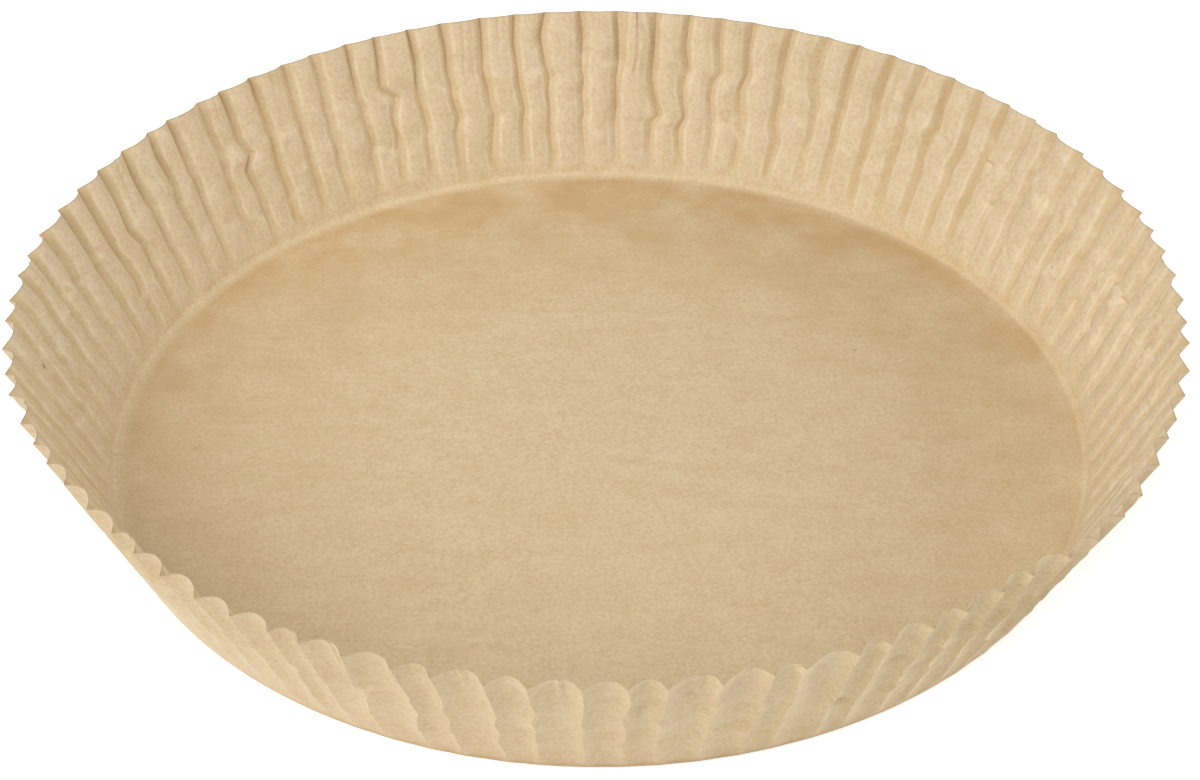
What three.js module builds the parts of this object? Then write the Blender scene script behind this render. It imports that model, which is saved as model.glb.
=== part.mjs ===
// Round air fryer liner, pressed from one disc of parchment paper. Millimetres, +Z up.
// The origin is the middle of the underside, on the surface that the liner stands on.
import * as THREE from "three";

// The pressed shape. The floor's diameter is taken where its plane and the wall's cone would meet.
const floorDiameter = 200;
const wallHeight = 34.5; // to the middle of the cut edge, which rises and dips with the flutes
const wallFlareDegrees = 25; // lean of the wall, outwards from upright
const foldRadius = 1.6; // round of the fold between floor and wall
const fluteCount = 90;

// The sheet.
const paperThickness = 0.06;
const paperColour = 0xcfb892;
const paperRoughness = 0.62;

// A flute runs from one sharp outward crease to the next, and bulges inwards between them. This is how
// much of that bulge is a round arch, and the rest of it is a plain zigzag.
const archShare = 0.6;

// The furthest that a crease strays to either side of its even place, as a share of a flute's width.
const creaseWander = 0.14;

// How finely the surface is faceted. The wall's rows lie closer together where the flutes spring up.
const facetsPerFlute = 4;
const foldRows = 2;
const wallRows = 4;

const wallTurn = Math.PI / 2 - THREE.MathUtils.degToRad(wallFlareDegrees);
const flatRadius = floorDiameter / 2 - foldRadius * Math.tan(wallTurn / 2);
const foldLength = foldRadius * wallTurn;
const foldHeight = foldRadius * (1 - Math.cos(wallTurn));
const wallLength = (wallHeight - foldHeight) / Math.sin(wallTurn);
const columns = fluteCount * facetsPerFlute;

// Where the press takes a point of the flat disc, by its distance from the disc's middle: its distance
// from the axis, its height, and the slope of the sheet there, before any flute.
function pressedSection(reach) {
  const turned = THREE.MathUtils.clamp((reach - flatRadius) / foldRadius, 0, wallTurn);
  const climbed = Math.max(reach - flatRadius - foldLength, 0);
  return {
    radius: Math.min(reach, flatRadius) + foldRadius * Math.sin(turned) + climbed * Math.cos(turned),
    height: foldRadius * (1 - Math.cos(turned)) + climbed * Math.sin(turned),
    slope: turned,
  };
}

// The section across a flute at the share u of its width: 1 on an outward crease, -1 on the inward fold.
function fluteSection(u) {
  const zigzag = 4 * Math.abs(u - 0.5) - 1;
  const arch = 1 - 2 * Math.sin(Math.PI * u);
  return THREE.MathUtils.lerp(zigzag, arch, archShare);
}

// How long that section is, facet by facet, for a flute that is 1 wide and has this half depth.
function sectionLength(halfDepth) {
  let length = 0;
  for (let i = 0; i < facetsPerFlute; i++) {
    const rise = fluteSection((i + 1) / facetsPerFlute) - fluteSection(i / facetsPerFlute);
    length += Math.hypot(1 / facetsPerFlute, halfDepth * rise);
  }
  return length;
}

// Half the depth of a flute, as a share of its width. Paper doesn't stretch, so a ring of the wall is as
// long along its flutes as it was in the flat disc. The depth that uses up that length is found by halving.
function fluteHalfDepth(reach, radius) {
  let low = 0;
  let high = 1;
  while (high - low > 1e-6) {
    const middle = (low + high) / 2;
    if (sectionLength(middle) < reach / radius) low = middle;
    else high = middle;
  }
  return low;
}

// The angle of each outward crease, and of the first one again after a full turn.
function creaseAngles() {
  const pitch = (2 * Math.PI) / fluteCount;
  const angles = [];
  THREE.MathUtils.seededRandom(1);
  for (let i = 0; i < fluteCount; i++) {
    const stray = creaseWander * (2 * THREE.MathUtils.seededRandom() - 1);
    angles.push(pitch * (i + stray));
  }
  angles.push(angles[0] + 2 * Math.PI);
  return angles;
}

// The flutes as columns: each one's angle, and how far it stands out for a half depth of 1. A wider
// flute is a deeper one, and a crease stands out by the mean of the two flutes that meet on it.
function fluteColumns() {
  const creases = creaseAngles();
  const result = [];
  for (let i = 0; i < fluteCount; i++) {
    const width = creases[i + 1] - creases[i];
    const before = i > 0 ? creases[i] - creases[i - 1] : creases[fluteCount] - creases[fluteCount - 1];
    for (let j = 0; j < facetsPerFlute; j++) {
      const u = j / facetsPerFlute;
      const standing = j === 0 ? (width + before) / 2 : width * fluteSection(u);
      result.push({ angle: creases[i] + u * width, standing });
    }
  }
  return result;
}

// The distances from the disc's middle at which the sheet has a row of points.
function rowReaches() {
  const reaches = [flatRadius];
  for (let i = 1; i <= foldRows; i++) reaches.push(flatRadius + (foldLength * i) / foldRows);
  for (let i = 1; i <= wallRows; i++) {
    reaches.push(flatRadius + foldLength + wallLength * (i / wallRows) ** 2);
  }
  return reaches;
}

// The surface halfway through the paper, with its faces towards the outside. The flat floor is a fan
// round the middle point, and each later row of points is a ring up the fold and the wall.
function sheetMiddle() {
  const middleOfFloor = paperThickness / 2;
  const points = [0, 0, middleOfFloor];
  const faces = [];
  const flutes = fluteColumns();
  rowReaches().forEach((reach, row) => {
    const { radius, height, slope } = pressedSection(reach);
    const halfDepth = fluteHalfDepth(reach, radius);
    flutes.forEach(({ angle, standing }, column) => {
      const out = halfDepth * radius * standing;
      const r = radius + out * Math.sin(slope);
      points.push(r * Math.cos(angle), r * Math.sin(angle));
      points.push(middleOfFloor + height - out * Math.cos(slope));

      const next = (column + 1) % columns;
      const above = 1 + row * columns;
      const below = above - columns;
      if (row === 0) faces.push(0, above + next, above + column);
      else {
        faces.push(below + column, below + next, above + next);
        faces.push(below + column, above + next, above + column);
      }
    });
  });
  const middle = new THREE.BufferGeometry();
  middle.setAttribute("position", new THREE.Float32BufferAttribute(points, 3));
  middle.setIndex(faces);
  middle.computeVertexNormals();
  return middle;
}

// How far each point moves along its normal to move its facets by 1. That is more than 1 at a crease.
function mitres(surface) {
  const { position, normal } = surface.attributes;
  const cosines = new Array(position.count).fill(0);
  const areas = new Array(position.count).fill(0);
  const triangle = new THREE.Triangle();
  const facing = new THREE.Vector3();
  const pointNormal = new THREE.Vector3();
  for (let i = 0; i < surface.index.count; i += 3) {
    const corners = [0, 1, 2].map((k) => surface.index.getX(i + k));
    triangle.setFromAttributeAndIndices(position, ...corners);
    triangle.getNormal(facing);
    for (const corner of corners) {
      pointNormal.fromBufferAttribute(normal, corner);
      cosines[corner] += triangle.getArea() * pointNormal.dot(facing);
      areas[corner] += triangle.getArea();
    }
  }
  return areas.map((area, i) => area / cosines[i]);
}

// The closed solid of a sheet: its outer face, its inner face, and the cut edge that joins the two.
function thicken(middle) {
  const { position, normal } = middle.attributes;
  const count = position.count;
  const mitre = mitres(middle);
  const points = [];
  for (const side of [0.5, -0.5]) {
    for (let i = 0; i < count; i++) {
      const move = side * paperThickness * mitre[i];
      points.push(position.getX(i) + move * normal.getX(i));
      points.push(position.getY(i) + move * normal.getY(i));
      points.push(position.getZ(i) + move * normal.getZ(i));
    }
  }
  const outer = Array.from(middle.index.array);
  const inner = outer.map((corner) => corner + count).reverse();
  const edge = [];
  const rim = count - columns;
  for (let column = 0; column < columns; column++) {
    const here = rim + column;
    const next = rim + ((column + 1) % columns);
    edge.push(here, next, next + count);
    edge.push(here, next + count, here + count);
  }
  const solid = new THREE.BufferGeometry();
  solid.setAttribute("position", new THREE.Float32BufferAttribute(points, 3));
  solid.setIndex([...outer, ...inner, ...edge]);
  solid.computeVertexNormals();
  return solid;
}

const paper = new THREE.MeshStandardMaterial({
  color: paperColour,
  roughness: paperRoughness,
  metalness: 0,
});
const liner = new THREE.Mesh(thicken(sheetMiddle()), paper);
liner.name = "paper_liner";

const part = new THREE.Group();
part.add(liner);
export default part;
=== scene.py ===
import math

import bpy
import numpy as np
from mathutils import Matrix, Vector, noise


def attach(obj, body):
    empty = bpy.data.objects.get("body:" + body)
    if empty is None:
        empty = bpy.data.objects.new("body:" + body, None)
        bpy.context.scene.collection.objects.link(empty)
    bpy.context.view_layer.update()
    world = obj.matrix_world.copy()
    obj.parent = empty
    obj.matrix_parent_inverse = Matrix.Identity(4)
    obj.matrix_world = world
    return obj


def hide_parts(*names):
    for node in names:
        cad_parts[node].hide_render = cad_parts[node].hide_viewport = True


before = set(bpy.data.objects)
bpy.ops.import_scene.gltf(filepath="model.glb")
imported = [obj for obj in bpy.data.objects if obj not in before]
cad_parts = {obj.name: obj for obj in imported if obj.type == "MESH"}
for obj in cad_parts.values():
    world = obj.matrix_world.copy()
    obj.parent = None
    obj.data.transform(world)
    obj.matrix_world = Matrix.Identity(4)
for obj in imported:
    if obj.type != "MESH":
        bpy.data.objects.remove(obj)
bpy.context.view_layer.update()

# The liner is one disc of unbleached parchment paper. Two hot dies press it in a single stroke: the
# middle stays flat as the floor, and the margin stands up as the wall. Paper can't shrink, so the
# wall's spare length goes into flutes, and where the dies catch it badly it buckles across them.
FLOOR_RADIUS = 0.100
WALL_LEAN = math.radians(25)
FOLD_ROUND = 0.0016
PAPER_THICKNESS = 0.00006
WALL_HEIGHT = 0.0345

wall_turn = math.pi / 2 - WALL_LEAN
flat_radius = FLOOR_RADIUS - FOLD_ROUND * math.tan(wall_turn / 2)
fold_length = FOLD_ROUND * wall_turn
fold_height = FOLD_ROUND * (1 - math.cos(wall_turn))
wall_length = (WALL_HEIGHT - fold_height) / math.sin(wall_turn)
margin = fold_length + wall_length


RIM_BAND = 0.9
SAME_CREASE = math.radians(0.2)


def creases_of_the_solid():
    """The angles of the outward creases on the solid's cut edge, where it stands out furthest."""
    points = np.array([v.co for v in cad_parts["paper_liner"].data.vertices])
    points = points[points[:, 2] > RIM_BAND * points[:, 2].max()]
    angle = np.arctan2(points[:, 1], points[:, 0]) % (2 * math.pi)
    order = np.argsort(angle)
    angle, out = angle[order], np.hypot(points[:, 0], points[:, 1])[order]
    facet = np.concatenate([[0], np.cumsum(np.diff(angle) > SAME_CREASE)])
    count = np.bincount(facet)
    angle, out = np.bincount(facet, angle) / count, np.bincount(facet, out) / count
    stands_out = (out > np.roll(out, 1)) & (out > np.roll(out, -1))
    return angle[stands_out]


creases = creases_of_the_solid()
flutes = len(creases)
SEED = 11
chance = np.random.default_rng(SEED)

FOLD_ROWS = 4
WALL_ROWS = 38
CLOSER_AT_THE_FOLD = 1.1
up_the_wall = wall_length * np.linspace(0, 1, WALL_ROWS + 1)[1:] ** CLOSER_AT_THE_FOLD
climb = np.concatenate([np.linspace(0, fold_length, FOLD_ROWS + 1), fold_length + up_the_wall])
share_up = climb / margin

turned = np.clip(climb / FOLD_ROUND, 0, wall_turn)
straight = np.clip(climb - fold_length, 0, None)
ring_radius = flat_radius + FOLD_ROUND * np.sin(turned) + straight * np.cos(turned)
ring_height = FOLD_ROUND * (1 - np.cos(turned)) + straight * np.sin(turned)

# From the inside, a flute is a valley between two broad pleats: a sharp crease at its bottom, and a
# softer shoulder on each side. A pleat's crown stands a little further in than its shoulders.
VALLEY = 0.22
SHOULDER = -0.45
BEVEL = 0.08


def pleat(t):
    """How far a pleat stands in, from one shoulder at t = 0 to the other at t = 1."""
    return SHOULDER + (-1 - SHOULDER) * np.sin(math.pi * np.clip(t, 0, 1))


# A ring of the wall is as long along its flutes as it was in the flat disc, and that gives their depth.
STEPS = 60
DEEPEST = 0.6
fine = np.linspace(0, 1, STEPS + 1)
from_crease = np.minimum(fine, 1 - fine)
flank_line = 1 + (SHOULDER - 1) * from_crease / VALLEY
pleat_line = pleat((fine - VALLEY) / (1 - 2 * VALLEY))
section = np.where(from_crease < VALLEY, flank_line, pleat_line)
depths = np.linspace(0, DEEPEST, 2 * STEPS + 1)
lengths = np.hypot(1 / STEPS, depths[:, None] * np.diff(section)).sum(axis=1)
half_depth = np.interp((flat_radius + climb) / ring_radius, lengths, depths)


def along_the_wall(heights, spread, alike=0.0):
    """A chance line for each flute, straight between the given shares of the wall's height."""
    values = chance.normal(0, 1, (flutes, len(heights))) * np.array(spread)
    neighbours = (np.roll(values, 1, axis=0) + np.roll(values, -1, axis=0)) / 2
    values = (1 - alike) * values + alike * neighbours
    shift = chance.uniform(-0.03, 0.03, (flutes, len(heights)))
    shift[:, [0, -1]] = 0
    at = np.array(heights) + shift
    return np.stack([np.interp(share_up, at[i], values[i]) for i in range(flutes)])


# Each crease runs up the wall in a few straight lengths, and jogs sideways by these millimetres where
# the dies buckled it. Some flutes are kinked much more than others, and neighbours are a little alike.
MILLIMETRE = 0.001
KINKS = [0, 0.16, 0.33, 0.40, 0.52, 0.61, 0.67, 0.84, 1]
JOGS = [0.05, 0.3, 0.6, 0.7, 0.5, 0.8, 0.8, 0.45, 0.35]
NEIGHBOURS_ALIKE = 0.25
kinked = 0.5 + 1.2 * chance.random((flutes, 1)) ** 1.5
jog = kinked * along_the_wall(KINKS, JOGS, NEIGHBOURS_ALIKE)
crease_angle = creases[:, None] + MILLIMETRE * jog / ring_radius
next_angle = np.roll(crease_angle, -1, axis=0)
next_angle[-1] += 2 * math.pi
width = next_angle - crease_angle

# The pleats end in rounded tongues on the fold or a little above it, and the flutes fade out there.
TONGUE_LOWEST = -0.0014
TONGUE_HIGHEST = 0.0010
TONGUE_ROUND = 0.0026
FLANK_WANDER = [0.02] * 3 + [0.03] * 6
tongue = chance.uniform(TONGUE_LOWEST, TONGUE_HIGHEST, (flutes, 1)) + fold_length
risen = np.clip((climb - tongue) / TONGUE_ROUND, 0, 1)
half_pleat = (0.5 - VALLEY) * np.sqrt(1 - (1 - risen) ** 2)
left_edge = 0.5 - half_pleat + kinked * risen * along_the_wall(KINKS, FLANK_WANDER)
right_edge = 0.5 - half_pleat + kinked * risen * along_the_wall(KINKS, FLANK_WANDER)

# On the front side, round this angle, the pleats are pushed over, so one flank is the steeper.
PUSHED_SIDE = math.radians(285)
PUSHED_OVER = 0.07
NARROWEST_FLANK = 0.1
WIDEST_FLANK = 0.36
CROWN_WANDER = [0.02, 0.04, 0.05, 0.05]
pushed = PUSHED_OVER * risen * np.clip(np.cos(creases[:, None] - PUSHED_SIDE), 0, 1)
left_edge = np.clip(left_edge + pushed, NARROWEST_FLANK, WIDEST_FLANK)
right_edge = np.clip(right_edge - pushed, NARROWEST_FLANK, WIDEST_FLANK)
crown = 0.5 + (left_edge - right_edge) / 2 + along_the_wall([0, 0.4, 0.7, 1], CROWN_WANDER)
bevel = np.minimum(BEVEL, 0.35 * left_edge)

# A flute is nothing at the floor's edge, and springs to its full depth over the foot of its pleat.
DEPTH_WANDER = [0.1, 0.12, 0.16, 0.16, 0.12, 0.16, 0.16, 0.12, 0.1]
SPRINGS_BELOW_TONGUE = 0.0015
SPRING_LENGTH = 0.0038
deep = 1 + along_the_wall(KINKS, DEPTH_WANDER)
sprung = np.clip((climb - tongue + SPRINGS_BELOW_TONGUE) / SPRING_LENGTH, 0, 1)
deep *= sprung * sprung * (3 - 2 * sprung) * np.clip(climb / (0.8 * fold_length), 0, 1)

# On the side that was pressed the least, the flutes fade out below the middle of the wall.
SLACK_SIDE = math.radians(214)
SLACK_SPREAD = math.radians(24)
SLACKEST = 0.75
slack = np.exp(-((creases[:, None] - SLACK_SIDE) / SLACK_SPREAD) ** 2)
deep *= 1 - SLACKEST * slack * np.clip(1.25 - 1.35 * share_up, 0, 1)
fold_out = half_depth * width * deep
crease_out = (fold_out + np.roll(fold_out, 1, axis=0)) / 2
next_crease_out = np.roll(crease_out, -1, axis=0)

# Nearly half of the pleats are dented down their crown, from the rim to some way down the wall.
DENTED_SHARE = 0.45
dented = chance.random((flutes, 1)) < DENTED_SHARE
reaches_to = chance.uniform(0.15, 0.72, (flutes, 1))
dent = dented * chance.uniform(0.2, 0.45, (flutes, 1)) * np.clip((share_up - reaches_to) / 0.2, 0, 1)

# The columns of points on one flute: how far across it each one lies, and how far it stands out.
pleat_width = 1 - right_edge - left_edge
flank = 1 + (SHOULDER - 1) * (1 - bevel / left_edge)
far_flank = 1 + (SHOULDER - 1) * (1 - bevel / right_edge)
inner = left_edge + bevel
far_inner = 1 - right_edge - bevel
across = [
    (0 * crown, 1 + 0 * crown),
    (left_edge - bevel, flank),
    (left_edge, SHOULDER + 0.06 + 0 * crown),
    (inner, pleat(bevel / pleat_width)),
    ((inner + crown) / 2, pleat(((inner + crown) / 2 - left_edge) / pleat_width)),
    (crown, -1 + dent),
    ((far_inner + crown) / 2, pleat(((far_inner + crown) / 2 - left_edge) / pleat_width)),
    (far_inner, pleat(1 - bevel / pleat_width)),
    (1 - right_edge, SHOULDER + 0.06 + 0 * crown),
    (1 - right_edge + bevel, far_flank),
]
columns = flutes * len(across)

angle_rows, out_rows = [], []
for u, stands in across:
    share = (stands + 1) / 2
    crest = np.where(u <= 0.5, crease_out, next_crease_out)
    out_rows.append(stands * ((1 - share) * fold_out + share * crest))
    angle_rows.append(crease_angle + u * width)
angle = np.stack(angle_rows, axis=1).reshape(columns, -1)
out = np.stack(out_rows, axis=1).reshape(columns, -1) * ring_radius

# Short pinches, where the paper buckled across the flutes, mostly in two rows round the wall. They lie
# closest on one side, where the photograph shows the wall crumpled.
PINCHES = 420
CRUMPLED_SIDE_PINCHES = 90
CRUMPLED_SIDE = 14
CRUMPLED_SPREAD = 15
HARD_PINCH = 0.0004
pinched = np.zeros_like(out)
for number in range(PINCHES + CRUMPLED_SIDE_PINCHES):
    middle_angle = chance.uniform(0, 2 * math.pi)
    if number >= PINCHES:
        middle_angle = math.radians(chance.normal(CRUMPLED_SIDE, CRUMPLED_SPREAD))
    row = chance.choice([0.36, 0.66, 0.66, chance.uniform(0.2, 0.95)])
    middle_climb = margin * (row + chance.normal(0, 0.04))
    tilt = chance.choice([-1, 1]) * math.radians(chance.uniform(25, 80))
    half_length = MILLIMETRE * chance.uniform(1.5, 3.5)
    half_width = MILLIMETRE * chance.uniform(0.7, 1.3)
    push = MILLIMETRE * chance.normal(0, 0.33)
    if number >= PINCHES:
        half_width, push = 1.3 * half_width, 1.5 * push
    sideways = (angle - middle_angle + math.pi) % (2 * math.pi) - math.pi
    sideways = sideways * ring_radius
    upwards = climb - middle_climb
    along = sideways * math.sin(tilt) + upwards * math.cos(tilt)
    off = sideways * math.cos(tilt) - upwards * math.sin(tilt)
    tent = np.clip(1 - np.abs(off) / half_width, 0, None)
    buckle = tent * np.clip(1 - (along / half_length) ** 2, 0, None)
    out += push * buckle
    pinched = np.maximum(pinched, buckle * min(1, abs(push) / HARD_PINCH))

# Between them, the paper is slightly rumpled all over.
RUMPLE = 0.00006
RUMPLES_ROUND = 18
RUMPLES_UP = 200
for column in range(columns):
    for row in range(FOLD_ROWS + 1, len(climb)):
        x = RUMPLES_ROUND * math.cos(angle[column, row])
        y = RUMPLES_ROUND * math.sin(angle[column, row])
        out[column, row] += RUMPLE * noise.noise(Vector((x, y, RUMPLES_UP * climb[row])))

# The wall leans out unevenly round the rim, by these millimetres at these angles.
SWAY = [(0, -0.1), (20, 1.0), (40, 1.3), (55, 1.0), (75, 0.6), (95, 1.1), (110, 0.2), (125, -0.4)]
SWAY += [(140, -0.55), (150, 0), (160, 1.1), (170, 1.7), (178, 1.8), (185, 1.5), (191, 1.3)]
SWAY += [(197, 0.75), (204, -0.15), (210, -0.95), (216, -1.4), (222, -1.2), (232, -0.2), (270, 0)]
SWAY += [(290, 0), (300, -0.7), (311, -1.2), (319, 1.0), (328, 1.0), (335, -0.3), (343, -0.1)]
SWAY += [(351, -0.25), (356, -0.35)]
sway_at, sway_by = np.array(SWAY).T
sway = np.interp(np.degrees(angle) % 360, sway_at, MILLIMETRE * sway_by, period=360)
sway *= share_up ** 1.5

radius = ring_radius + (out + sway) * np.sin(turned)
height = ring_height - (out + sway) * np.cos(turned)
wall_points = np.stack([radius * np.cos(angle), radius * np.sin(angle), height], axis=-1)

# The floor: rings of points that get fewer towards the middle, with the slight waves of a dry sheet.
floor_rings = [(0.9820, columns), (0.9580, columns // 2), (0.9250, columns // 2), (0.8850, columns // 4)]
floor_rings += [(share, columns // 4) for share in np.arange(0.84, 0.40, -0.05)]
floor_rings += [(share, columns // 12) for share in np.arange(0.38, 0.05, -0.055)]


FLOOR_LIFT = 0.00016
FLAT_BY_THE_FOLD = 0.02


def floor_wave(x, y):
    """How far the floor lifts off the table, which is nothing at its edge."""
    free = np.clip((flat_radius - math.hypot(x, y)) / FLAT_BY_THE_FOLD, 0, 1)
    lift = noise.noise(Vector((28 * x, 28 * y, 0.3))) + 0.4 * noise.noise(Vector((75 * x, 75 * y, 4.1)))
    return FLOOR_LIFT * free * (1 + lift)


points = [(0, 0, floor_wave(0, 0))]
rings = []
for share, count in reversed(floor_rings):
    first = len(points)
    for i in range(count):
        a = 2 * math.pi * i / count + angle[0, 0]
        x, y = share * flat_radius * math.cos(a), share * flat_radius * math.sin(a)
        points.append((x, y, floor_wave(x, y)))
    rings.append(list(range(first, first + count)))
for row in range(len(climb)):
    rings.append(list(range(len(points), len(points) + columns)))
    points.extend(map(tuple, wall_points[:, row]))

faces = [(0, rings[0][(i + 1) % len(rings[0])], rings[0][i]) for i in range(len(rings[0]))]
for ring, wider in zip(rings, rings[1:]):
    if len(ring) == len(wider):
        for i in range(len(ring)):
            j = (i + 1) % len(ring)
            faces.append((ring[i], ring[j], wider[j], wider[i]))
        continue
    step = len(wider) // len(ring)
    half = step // 2
    for i in range(len(ring)):
        fan = [wider[(i * step + k) % len(wider)] for k in range(step + 1)]
        after = ring[(i + 1) % len(ring)]
        for k in range(half):
            faces.append((ring[i], fan[k + 1], fan[k]))
        faces.append((ring[i], after, fan[half]))
        for k in range(half, step):
            faces.append((after, fan[k + 1], fan[k]))

sheet = bpy.data.meshes.new("parchment_liner")
sheet.from_pydata([(x, y, z + PAPER_THICKNESS / 2) for x, y, z in points], [], faces)
sheet.update()
liner = bpy.data.objects.new("parchment_liner", sheet)
bpy.context.scene.collection.objects.link(liner)

thickness = liner.modifiers.new("paper thickness", "SOLIDIFY")
thickness.thickness = PAPER_THICKNESS
thickness.offset = 0
thickness.use_even_offset = True
applied = bpy.data.meshes.new_from_object(liner.evaluated_get(bpy.context.evaluated_depsgraph_get()))
liner.modifiers.clear()
liner.data = applied
applied.shade_smooth()
SHARP_CREASE = math.radians(34)
applied.set_sharp_from_angle(angle=SHARP_CREASE)

# Marks for the finish: the cut edge, which is browned; the inner face of the wall, marked paler as
# painted light;
# the fold, the pleats' shoulders and the pinches, marked paler for whitened paper and painted
# highlights; the valleys and the foot of the fold, marked darker as painted shade; and the floor's edge,
# marked darker and more orange. The solid has every point twice, once on each face, and the outer face
# comes first.
reach = np.zeros(len(points))
wall_start = len(points) - columns * len(climb)
reach[wall_start:] = np.repeat(climb, columns)


def mark(name, outer_face, inner_face):
    attribute = applied.attributes.new(name, "FLOAT", "POINT")
    attribute.data.foreach_set("value", np.concatenate([outer_face, inner_face]).astype(np.float32))


nowhere = np.zeros(len(points))
# Painted light: the inner face of the wall is painted paler and greyer, for light through the thin
# paper, and less so on the slack side.
wall_painted_light = np.clip((reach - fold_length) / 0.002, 0, 1)
wall_painted_light[wall_start:] *= np.tile(np.repeat(1 - 0.85 * slack[:, 0], len(across)), len(climb))
EDGE_BAND = 0.0006
FOLD_BAND = 0.0011
UNDER_FOLD_BAND = 0.0010
at_edge = np.clip(1 - (margin - reach) / EDGE_BAND, 0, 1)
# The inner face along the fold is marked paler: partly paper whitened by the fold, partly a painted
# highlight.
on_fold = np.clip(1 - np.abs(reach - 0.4 * fold_length) / FOLD_BAND, 0, 1)
on_fold[:wall_start] = 0
# Painted shadow: a band on the outer face at the foot of the fold, painted darker for the shade where it
# meets the table.
under_fold_shadow = np.clip(1.5 - np.abs(reach - 0.75 * fold_length) / UNDER_FOLD_BAND, 0, 1)
under_fold_shadow[:wall_start] = 0


def up_the_flutes(which, above, tone=1.0):
    """A mark on some columns of every flute, which starts so far above the tongues of the pleats."""
    marked = np.isin(np.arange(len(across)), which)
    started = tone * np.clip((climb[None, :] - tongue - above) / 0.004, 0, 1)
    values = nowhere.copy()
    on_columns = (started[:, None, :] * marked[None, :, None]).reshape(columns, -1)
    values[wall_start:] = on_columns.T.reshape(-1)
    return values


mark("cut_edge", at_edge, at_edge)
mark("fold_inside_pale_and_highlight", nowhere, on_fold)
mark("fold_outside_painted_shadow", under_fold_shadow, nowhere)
mark("inner_wall_painted_light", nowhere, wall_painted_light)
# The pleats' shoulders are marked paler: partly creased paper whitened, partly painted highlights along
# the edges.
mark("shoulder_pale_and_highlight", nowhere, up_the_flutes([2, 8], 0.001))
# Painted shade: the valleys of the inner face are painted a darker tan, for the shade in the creases, by
# a chance amount on each flute.
valley_shade_tone = chance.uniform(0.25, 1.0, (flutes, 1))
valley_painted_shade = up_the_flutes([0], 0.0, valley_shade_tone) + up_the_flutes([1, 9], 0.0, 0.6 * valley_shade_tone)
mark("valley_painted_shade", nowhere, valley_painted_shade)

# The floor is coloured darker and more orange towards its edge, most of all at the back, and on the
# right up into the fold.
at_floor_edge = np.array([math.hypot(x, y) for x, y, z in points[:wall_start]]) / flat_radius
floor_edge = nowhere.copy()
to_the_back = 0.5 + 0.5 * np.array([y / (math.hypot(x, y) + 1e-6) for x, y, z in points[:wall_start]])
floor_edge[:wall_start] = to_the_back * np.clip((at_floor_edge - 0.45) / 0.55, 0, 1)
to_the_right = np.clip(np.cos(angle), 0, 1) ** 2
floor_edge[wall_start:] = (to_the_right * np.clip(1 - 0.55 * climb / fold_length, 0, 1)).T.reshape(-1)
mark("floor_edge", nowhere, floor_edge)
# The pinches are marked paler: painted glints on the pinched facets, partly paper whitened where it
# buckled.
pinch_painted_glint = nowhere.copy()
pinch_painted_glint[wall_start:] = pinched.T.reshape(-1)
mark("pinch_painted_glint", nowhere, pinch_painted_glint)

# Unbleached parchment: a warm tan stock, cloudy where the fibres lie thicker, with fine fibre flecks
# and a faint silicone shine. It browns at the cut edge. On top of that come painted light and shade:
# the inner face of the wall is painted paler as painted light through the paper; the fold, the pleats'
# shoulders and the pinches are painted paler, partly for whitened paper and partly as painted
# highlights;
# and the valleys and the foot of the fold are painted darker as painted shade.
parchment = bpy.data.materials.new("unbleached_parchment")
parchment.use_nodes = True
tree = parchment.node_tree
shader = tree.nodes["Principled BSDF"]


def texture(kind, **settings):
    node = tree.nodes.new(kind)
    for name, value in settings.items():
        if name in node.inputs:
            node.inputs[name].default_value = value
        else:
            setattr(node, name, value)
    return node


place_on_sheet = texture("ShaderNodeTexCoord").outputs["Object"]


def fibres(size, detail=3.0, roughness=0.55):
    """A cloudy pattern of the given size in metres, from 0 to 1."""
    cloud = texture("ShaderNodeTexNoise", Scale=1 / size, Detail=detail, Roughness=roughness)
    tree.links.new(place_on_sheet, cloud.inputs["Vector"])
    return cloud.outputs["Fac"]


def tinted(base, tint, share, strength):
    """base, mixed with the tint colour by the share, which is 0 to 1, times the strength."""
    scaled = texture("ShaderNodeMath", operation="MULTIPLY")
    tree.links.new(share, scaled.inputs[0])
    scaled.inputs[1].default_value = strength
    mix = texture("ShaderNodeMix", data_type="RGBA")
    tree.links.new(scaled.outputs[0], mix.inputs["Factor"])
    if isinstance(base, tuple):
        mix.inputs[6].default_value = base
    else:
        tree.links.new(base, mix.inputs[6])
    mix.inputs[7].default_value = tint
    return mix.outputs[2]


def stretched(value, low, high):
    """value from low to high, spread over 0 to 1."""
    spread = texture("ShaderNodeMapRange")
    tree.links.new(value, spread.inputs["Value"])
    spread.inputs["From Min"].default_value = low
    spread.inputs["From Max"].default_value = high
    return spread.outputs["Result"]


TAN = (0.643, 0.490, 0.280, 1)
THIN_PATCH = (0.735, 0.592, 0.385, 1)
THICK_PATCH = (0.560, 0.392, 0.205, 1)
PINKISH = (0.700, 0.480, 0.310, 1)
GREENISH = (0.600, 0.520, 0.285, 1)
WALL_PAINTED_LIGHT = (0.690, 0.605, 0.490, 1)
PALE_CREASE_AND_HIGHLIGHT = (0.820, 0.690, 0.490, 1)
EDGE_BROWN = (0.30, 0.21, 0.13, 1)
FOLD_SHADOW_TAN = (0.540, 0.350, 0.150, 1)
FLOOR_TAN = (0.540, 0.350, 0.160, 1)
VALLEY_SHADE_TAN = (0.570, 0.412, 0.200, 1)
SPECK = (0.16, 0.08, 0.03, 1)


def attribute(name):
    return texture("ShaderNodeAttribute", attribute_name=name).outputs["Fac"]


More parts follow.
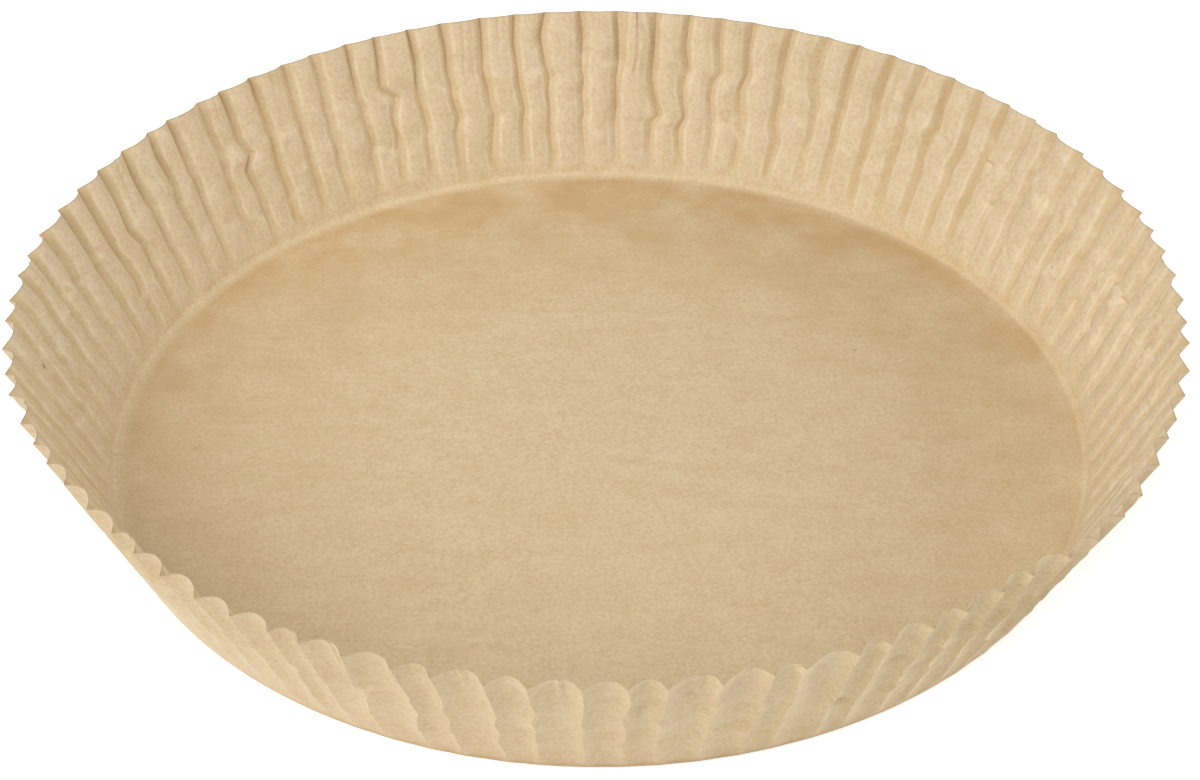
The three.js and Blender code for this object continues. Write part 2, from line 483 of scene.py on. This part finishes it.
# Painted light: the inner face of the wall is painted paler, for light through the paper.
colour = tinted(TAN, WALL_PAINTED_LIGHT, attribute("inner_wall_painted_light"), 0.65)
colour = tinted(colour, THIN_PATCH, stretched(fibres(0.011), 0.45, 0.65), 0.45)
colour = tinted(colour, THICK_PATCH, stretched(fibres(0.0035, 4), 0.45, 0.7), 0.5)
colour = tinted(colour, PINKISH, stretched(fibres(0.0045), 0.5, 0.7), 0.25)
colour = tinted(colour, GREENISH, stretched(fibres(0.0061), 0.5, 0.7), 0.4)
colour = tinted(colour, THIN_PATCH, stretched(fibres(0.0022, 3), 0.38, 0.68), 0.4)
colour = tinted(colour, THIN_PATCH, stretched(fibres(0.0007, 2), 0.38, 0.68), 0.7)
colour = tinted(colour, THICK_PATCH, stretched(fibres(0.0009, 2), 0.42, 0.7), 0.5)

# The fibres lie along X, the way the paper ran through its machine, and leave faint streaks.
along_machine = texture("ShaderNodeMapping")
along_machine.inputs["Scale"].default_value = (0.22, 1, 1)
tree.links.new(place_on_sheet, along_machine.inputs["Vector"])
for tint, size, strength in [(FLOOR_TAN, 0.0047, 0.2), (THIN_PATCH, 0.0031, 0.22)]:
    streak = texture("ShaderNodeTexNoise", Scale=1 / size, Detail=3.0)
    tree.links.new(along_machine.outputs["Vector"], streak.inputs["Vector"])
    colour = tinted(colour, tint, stretched(streak.outputs["Fac"], 0.45, 0.75), strength)
# Painted shade: the valleys are painted a darker tan.
colour = tinted(colour, VALLEY_SHADE_TAN, attribute("valley_painted_shade"), 0.7)
patchy = texture("ShaderNodeMath", operation="MULTIPLY")
tree.links.new(attribute("floor_edge"), patchy.inputs[0])
tree.links.new(stretched(fibres(0.013, 4), 0.3, 0.62), patchy.inputs[1])
colour = tinted(colour, FLOOR_TAN, patchy.outputs[0], 0.95)
# Paler along the inner fold: partly whitened paper, partly a painted highlight.
colour = tinted(colour, PALE_CREASE_AND_HIGHLIGHT, attribute("fold_inside_pale_and_highlight"), 0.15)
# Painted shadow: the outer face at the foot of the fold is painted a darker tan, for the shade where it
# meets the table.
colour = tinted(colour, FOLD_SHADOW_TAN, attribute("fold_outside_painted_shadow"), 0.9)
# Paler along the pleats' shoulders, broken up: partly whitened paper, partly painted highlights.
broken = texture("ShaderNodeMath", operation="MULTIPLY")
tree.links.new(attribute("shoulder_pale_and_highlight"), broken.inputs[0])
tree.links.new(stretched(fibres(0.004), 0.35, 0.6), broken.inputs[1])
colour = tinted(colour, PALE_CREASE_AND_HIGHLIGHT, broken.outputs[0], 0.6)
# Painted glints on the pinches, partly whitened paper.
colour = tinted(colour, PALE_CREASE_AND_HIGHLIGHT, attribute("pinch_painted_glint"), 0.5)
colour = tinted(colour, EDGE_BROWN, stretched(attribute("cut_edge"), 0.6, 0.95), 0.45)

# Two specks of bark that the photograph shows: one on the wall, and a fainter one in the floor.
WALL_SPECK = ((-0.1109, -0.0106, 0.0249), 0.0010, 0.9)
FLOOR_SPECK = ((0.0549, 0.0293, 0.0002), 0.0006, 0.4)
for centre, size, strength in [WALL_SPECK, FLOOR_SPECK]:
    away = texture("ShaderNodeVectorMath", operation="DISTANCE")
    tree.links.new(place_on_sheet, away.inputs[0])
    away.inputs[1].default_value = centre
    colour = tinted(colour, SPECK, stretched(away.outputs["Value"], size, 0.3 * size), strength)
tree.links.new(colour, shader.inputs["Base Color"])

tree.links.new(stretched(fibres(0.0012), -1.2, 2.2), shader.inputs["Roughness"])
shader.inputs["Specular IOR Level"].default_value = 0.22
shader.inputs["Sheen Weight"].default_value = 0.08

grain = texture("ShaderNodeBump", Strength=0.15, Distance=0.00006)
tree.links.new(fibres(0.0006, 4, 0.6), grain.inputs["Height"])
tree.links.new(grain.outputs["Normal"], shader.inputs["Normal"])

applied.materials.append(parchment)

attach(liner, "root")
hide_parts("paper_liner")

# The table: a plain white sheet of card under the liner, which keeps its shadow.
TABLE_SIZE = 4.0
bpy.ops.mesh.primitive_plane_add(size=TABLE_SIZE, location=(0, 0, 0))
table = bpy.context.object
table.name = "table"
card = bpy.data.materials.new("white_card")
card.use_nodes = True
card_shader = card.node_tree.nodes["Principled BSDF"]
card_shader.inputs["Base Color"].default_value = (0.9, 0.9, 0.9, 1)
card_shader.inputs["Roughness"].default_value = 0.9
card_shader.inputs["Specular IOR Level"].default_value = 0.0
card_shader.inputs["Emission Color"].default_value = (1, 1, 1, 1)


def looked_at(tree):
    """1 for a ray from the camera, or one that is mirrored or let through, and 0 for any other."""
    path = tree.nodes.new("ShaderNodeLightPath")
    share = path.outputs["Is Camera Ray"]
    for kind in ["Is Glossy Ray", "Is Transmission Ray"]:
        either = tree.nodes.new("ShaderNodeMath")
        either.operation = "MAXIMUM"
        tree.links.new(share, either.inputs[0])
        tree.links.new(path.outputs[kind], either.inputs[1])
        share = either.outputs[0]
    return share


WHITENING = 0.56
whiten = card.node_tree.nodes.new("ShaderNodeMath")
whiten.operation = "MULTIPLY"
whiten.inputs[1].default_value = WHITENING
card.node_tree.links.new(looked_at(card.node_tree), whiten.inputs[0])
card.node_tree.links.new(whiten.outputs[0], card_shader.inputs["Emission Strength"])
table.data.materials.append(card)

# The light: a big soft lamp in front on the left, a weak one on the right, and a pale room all round.
LAMP_DISTANCE = 1.6


def soft_lamp(name, azimuth, elevation, width, watts):
    """A square lamp of that width in that direction, in degrees, which faces the liner."""
    azimuth, elevation = math.radians(azimuth), math.radians(elevation)
    direction = Vector((math.cos(azimuth), math.sin(azimuth), math.tan(elevation))).normalized()
    bpy.ops.object.light_add(type="AREA", location=LAMP_DISTANCE * direction)
    lamp = bpy.context.object
    lamp.name = name
    lamp.data.size = width
    lamp.data.energy = watts
    lamp.rotation_euler = direction.to_track_quat("Z", "Y").to_euler()


soft_lamp("window", 228, 45, 1.5, 24.5)
soft_lamp("fill", 0, 18, 1.0, 12)

room = bpy.context.scene.world or bpy.data.worlds.new("room")
bpy.context.scene.world = room
room.use_nodes = True
walls = room.node_tree.nodes["Background"]
walls.inputs["Color"].default_value = (1, 1, 1, 1)
ROOM_LIGHT = 0.315
seen_or_not = room.node_tree.nodes.new("ShaderNodeMapRange")
seen_or_not.inputs["To Min"].default_value = ROOM_LIGHT
seen_or_not.inputs["To Max"].default_value = 1.0
room.node_tree.links.new(looked_at(room.node_tree), seen_or_not.inputs["Value"])
room.node_tree.links.new(seen_or_not.outputs["Result"], walls.inputs["Strength"])

# The camera, where the photograph's outlines put it.
bpy.ops.object.camera_add(location=(0.0, -0.4952, 0.3764))
camera = bpy.context.object
camera.data.lens = 90
camera.data.sensor_width = 36
aim = Vector((0.00005, 0.0151, 0))
camera.rotation_euler = (aim - camera.location).to_track_quat("-Z", "Y").to_euler()
bpy.context.scene.camera = camera
bpy.context.scene.view_settings.view_transform = "Standard"
